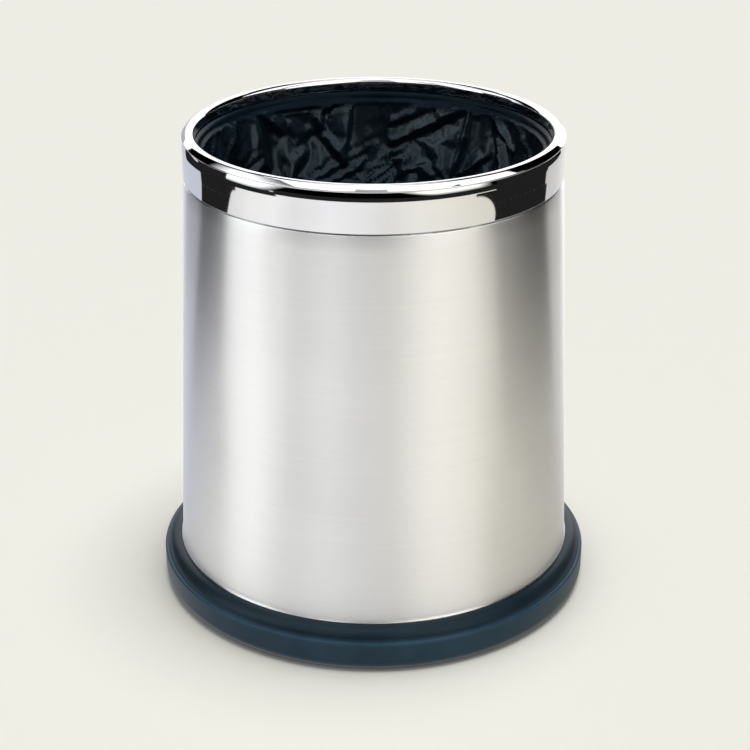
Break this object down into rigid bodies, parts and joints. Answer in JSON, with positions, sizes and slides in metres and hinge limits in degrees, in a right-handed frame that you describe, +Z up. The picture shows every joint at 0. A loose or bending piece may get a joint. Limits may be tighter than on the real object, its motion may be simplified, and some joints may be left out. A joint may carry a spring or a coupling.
{
  "type": "wastebasket",
  "caption": "Round open-top wastebasket with a brushed steel shell, flared moulded base skirt, bagged inner bucket and lift-off polished ring.",
  "frame": {"origin": "centre of the footprint, on the floor", "axes": "+Z up along the bin's axis, -Y towards the front, and the shell's seam at the back on +Y"},
  "size_m": [0.249, 0.249, 0.27],
  "materials": {
    "polished_steel": "mirror-polished stainless steel",
    "brushed_steel": "stainless steel, fine brushing around the shell",
    "plain_steel": "plain rolled steel",
    "zinc_steel": "galvanised sheet with a fine spangle",
    "zinc_hardware": "bright zinc-plated fasteners",
    "black_moulding": "satin blue-black flexible moulding",
    "bag_film": "thin glossy black polythene film"
  },
  "bodies": {
    "base": {"outer_shell": "brushed_steel", "seam_strap": "plain_steel", "neck_ring": "zinc_steel", "base_skirt": "black_moulding", "base_plate": "zinc_steel", "base_washers": "zinc_hardware", "base_screws": "zinc_hardware", "base_nuts": "zinc_hardware"},
    "bucket": {"bucket_wall": "zinc_steel", "bucket_floor": "zinc_steel", "bucket_rim_wire": "plain_steel", "bin_bag": "bag_film"},
    "ring": {"cover_ring": "polished_steel"}
  },
  "joints": [
    {"name": "bucket_lift", "type": "slide", "parent": "base", "child": "bucket", "axis": [0, 0, 1], "range_m": [0, 0.27]},
    {"name": "ring_lift", "type": "slide", "parent": "bucket", "child": "ring", "axis": [0, 0, 1], "range_m": [0, 0.08]}
  ]
}
